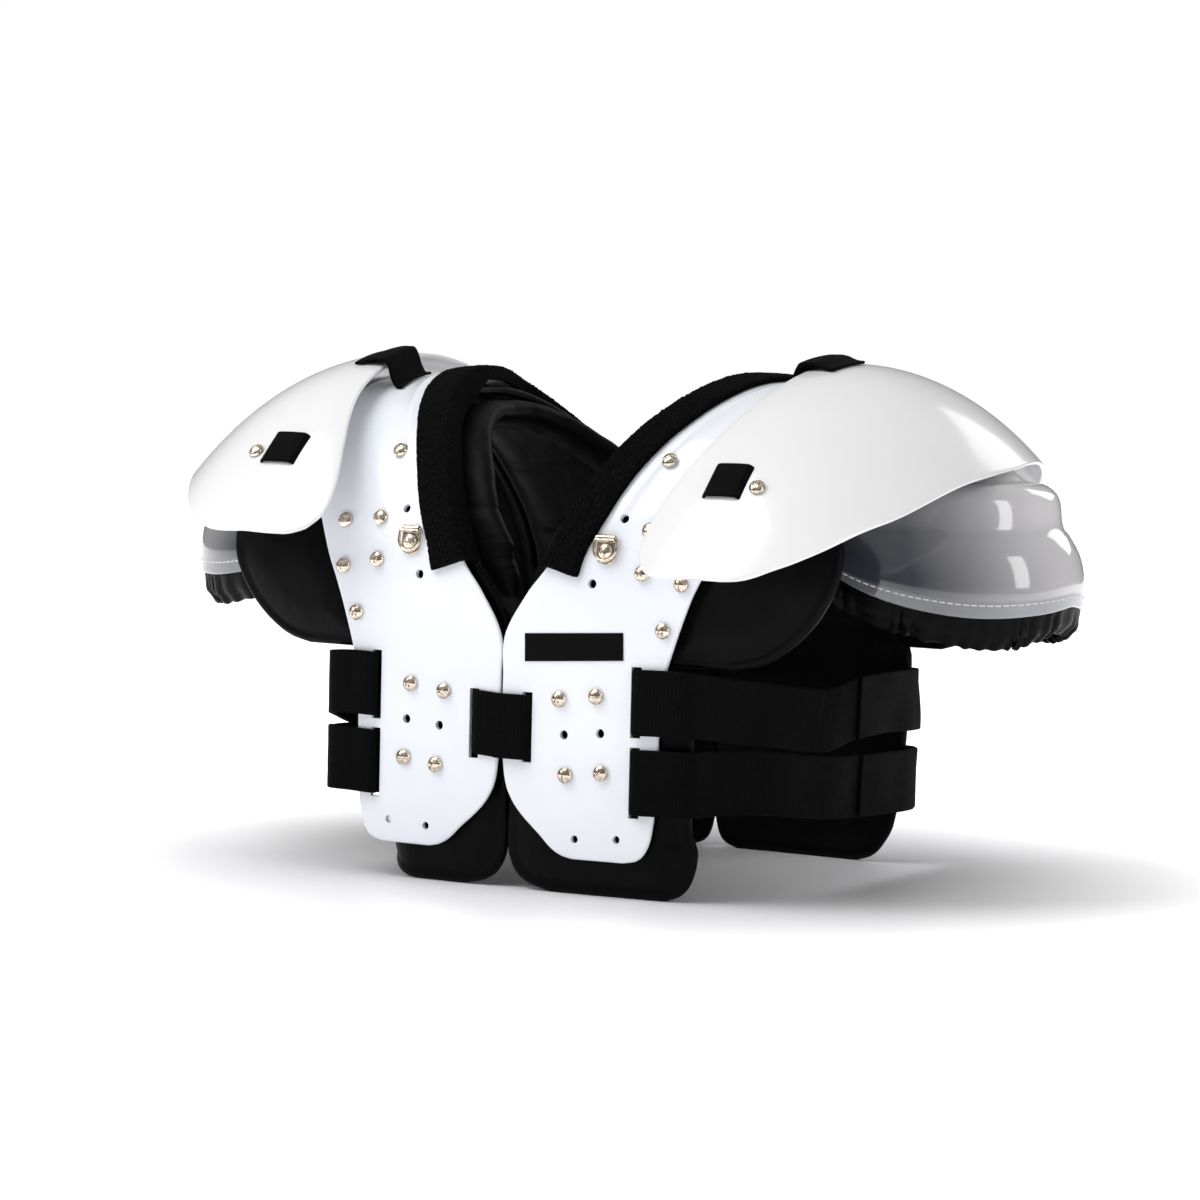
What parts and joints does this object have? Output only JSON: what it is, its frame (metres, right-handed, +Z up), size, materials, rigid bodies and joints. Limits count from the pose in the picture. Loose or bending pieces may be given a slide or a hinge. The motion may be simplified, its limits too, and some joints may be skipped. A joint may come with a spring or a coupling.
{
  "type": "football shoulder pad",
  "caption": "Football shoulder pad: two moulded white arches with foam liners, domed shoulder flaps over padded cups, joined by black webbing straps round an open neck",
  "frame": {"origin": "centre of the bounding box on the floor, under the shoulder line", "axes": "+X to the wearer's left, -Y to the chest, +Z up"},
  "size_m": [0.5914, 0.386, 0.3193],
  "materials": {
    "shell_plastic": "milky blue-white moulded polyethylene, soft gloss",
    "flap_plastic": "white moulded plastic, gloss",
    "cup_plastic": "smoky clear plastic over the dark pad, high gloss",
    "liner_nylon": "smooth black coated nylon over foam",
    "pile": "black loop pile, matt",
    "webbing": "black woven nylon webbing",
    "nickel": "warm nickel plate, polished"
  },
  "bodies": {
    "pads": {"arch_left": "shell_plastic", "liner_left": "liner_nylon", "neck_trim_left": "pile", "neck_roll_left": "liner_nylon", "wing_front_left": "liner_nylon", "wing_back_left": "liner_nylon", "epaulet_left": "flap_plastic", "cup_left": "cup_plastic", "cup_pad_left": "liner_nylon", "epaulet_strap_left": "webbing", "epaulet_tab_front_left": "webbing", "epaulet_tab_back_left": "webbing", "side_strap_upper_left": "webbing", "side_strap_lower_left": "webbing", "ring_keeper_left": "nickel", "screw_ring_left": "nickel", "screw_upper_left": "nickel", "screw_mid_top_outer_left": "nickel", "screw_mid_top_inner_left": "nickel", "screw_mid_outer_left": "nickel", "screw_mid_inner_left": "nickel", "screw_mid_low_left": "nickel", "screw_chest_top_inner_left": "nickel", "screw_chest_top_outer_left": "nickel", "screw_chest_low_inner_left": "nickel", "screw_chest_low_outer_left": "nickel", "screw_epaulet_left": "nickel", "arch_right": "shell_plastic", "liner_right": "liner_nylon", "neck_trim_right": "pile", "neck_roll_right": "liner_nylon", "wing_front_right": "liner_nylon", "wing_back_right": "liner_nylon", "epaulet_right": "flap_plastic", "cup_right": "cup_plastic", "cup_pad_right": "liner_nylon", "epaulet_strap_right": "webbing", "epaulet_tab_front_right": "webbing", "epaulet_tab_back_right": "webbing", "side_strap_upper_right": "webbing", "side_strap_lower_right": "webbing", "ring_keeper_right": "nickel", "screw_ring_right": "nickel", "screw_upper_right": "nickel", "screw_mid_top_outer_right": "nickel", "screw_mid_top_inner_right": "nickel", "screw_mid_outer_right": "nickel", "screw_mid_inner_right": "nickel", "screw_mid_low_right": "nickel", "screw_chest_top_inner_right": "nickel", "screw_chest_top_outer_right": "nickel", "screw_chest_low_inner_right": "nickel", "screw_chest_low_outer_right": "nickel", "screw_epaulet_right": "nickel", "chest_strap": "webbing", "back_strap": "webbing"},
    "ring_left": {"d_ring_left": "nickel"},
    "ring_right": {"d_ring_right": "nickel"}
  },
  "joints": [
    {"name": "ring_left_swing", "type": "hinge", "parent": "pads", "child": "ring_left", "pos_m": [0.0668, -0.13668, 0.20871], "axis": [-1, 0, 0], "range_deg": [0, 145]},
    {"name": "ring_right_swing", "type": "hinge", "parent": "pads", "child": "ring_right", "pos_m": [-0.0668, -0.13668, 0.20871], "axis": [-1, 0, 0], "range_deg": [0, 145]}
  ]
}
